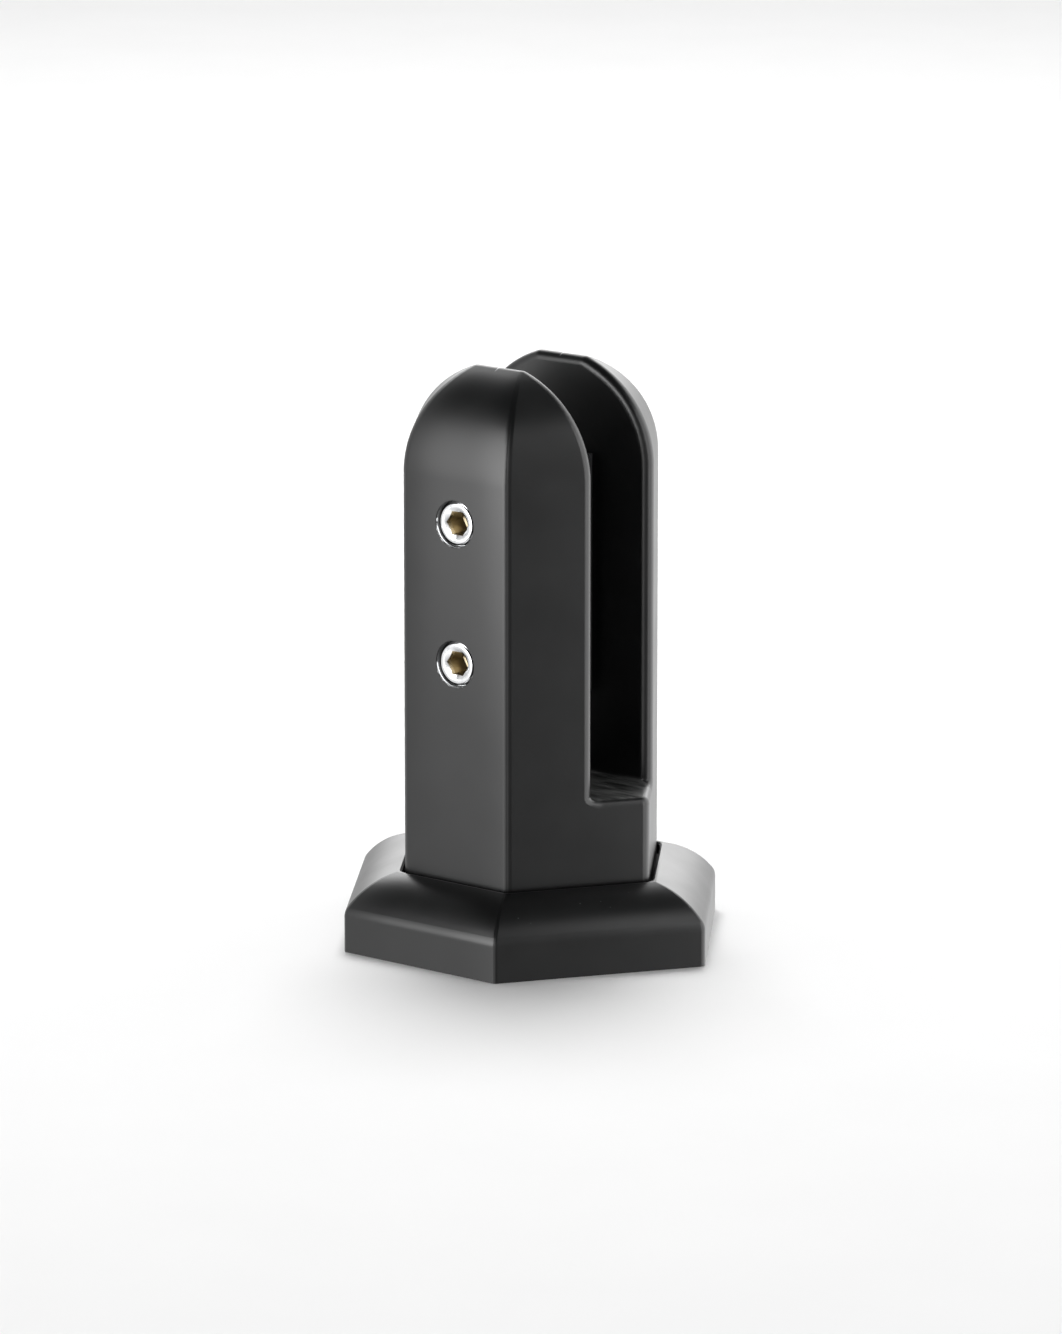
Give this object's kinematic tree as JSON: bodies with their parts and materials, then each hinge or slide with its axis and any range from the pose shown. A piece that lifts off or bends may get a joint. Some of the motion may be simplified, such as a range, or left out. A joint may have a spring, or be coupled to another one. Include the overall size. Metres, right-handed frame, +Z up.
{
  "type": "glass railing spigot",
  "caption": "Hexagonal post spigot with a domed, slotted top that clamps the foot of a glass panel by side set screws, over a domed hexagonal base cover.",
  "frame": {"origin": "centre of the foot, on the floor", "axes": "+Z up along the post, +X along the glass slot, -Y out of the face that holds the set screws"},
  "size_m": [0.1116, 0.0924, 0.15],
  "materials": {
    "black_coated_aluminium": "satin black powder coat",
    "bright_steel": "bright, polished ends",
    "plate_steel": "mill finish stainless",
    "black_rubber": "matte"
  },
  "bodies": {
    "post": {"spigot_body": "black_coated_aluminium", "fixed_pad": "black_rubber"},
    "cover": {"base_cover": "black_coated_aluminium"},
    "clamp": {"clamp_plate": "plate_steel", "clamp_pad": "black_rubber"},
    "upper_screw": {"upper_set_screw": "bright_steel"},
    "lower_screw": {"lower_set_screw": "bright_steel"}
  },
  "joints": [
    {"name": "cover_lift", "type": "slide", "parent": "post", "child": "cover", "axis": [0, 0, 1], "range_m": [0, 0.05]},
    {"name": "clamp_feed", "type": "slide", "parent": "post", "child": "clamp", "axis": [0, 1, 0], "range_m": [-0.0038, 0.0106]},
    {"name": "upper_screw_turn", "type": "hinge", "parent": "clamp", "child": "upper_screw", "pos_m": [0, -0.0182, 0.1126], "axis": [0, 1, 0], "range_deg": [-781.8, 2180.6]},
    {"name": "lower_screw_turn", "type": "hinge", "parent": "clamp", "child": "lower_screw", "pos_m": [0, -0.0182, 0.0764], "axis": [0, 1, 0], "range_deg": [-781.8, 2180.6]}
  ],
  "couplings": [
    {"joint": "upper_screw_turn", "follows": "clamp_feed", "rad_per_m": 3590.4},
    {"joint": "lower_screw_turn", "follows": "clamp_feed", "rad_per_m": 3590.4}
  ]
}
